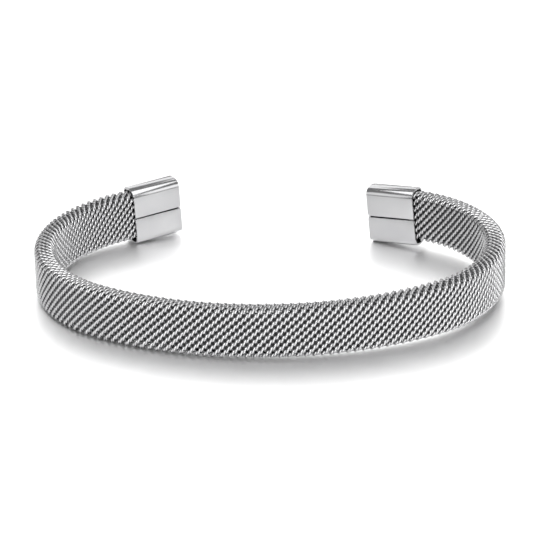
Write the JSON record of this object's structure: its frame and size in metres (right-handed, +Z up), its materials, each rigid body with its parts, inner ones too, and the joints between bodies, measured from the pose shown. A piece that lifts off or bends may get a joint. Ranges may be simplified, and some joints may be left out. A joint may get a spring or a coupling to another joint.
{
  "type": "mesh cuff bracelet",
  "caption": "Open cuff bracelet: a flattened sleeve of woven steel wire bent into an open oval, with a folded polished sheet cap on each end. It lies on its side.",
  "frame": {"origin": "middle of the cuff's box in plan, on the surface that the cuff lies on", "axes": "+X along the front of the band from its left side to its right side, +Y from the front of the band to the gap between the caps, +Z up through the wrist hollow"},
  "size_m": [0.0658, 0.0487, 0.0091],
  "materials": {
    "mesh_steel": "bright drawn stainless wire, woven",
    "cap_steel": "polished stainless sheet, folded"
  },
  "bodies": {
    "root": {"mesh_band": "mesh_steel", "end_cap_left": "cap_steel", "end_cap_right": "cap_steel"}
  },
  "joints": []
}
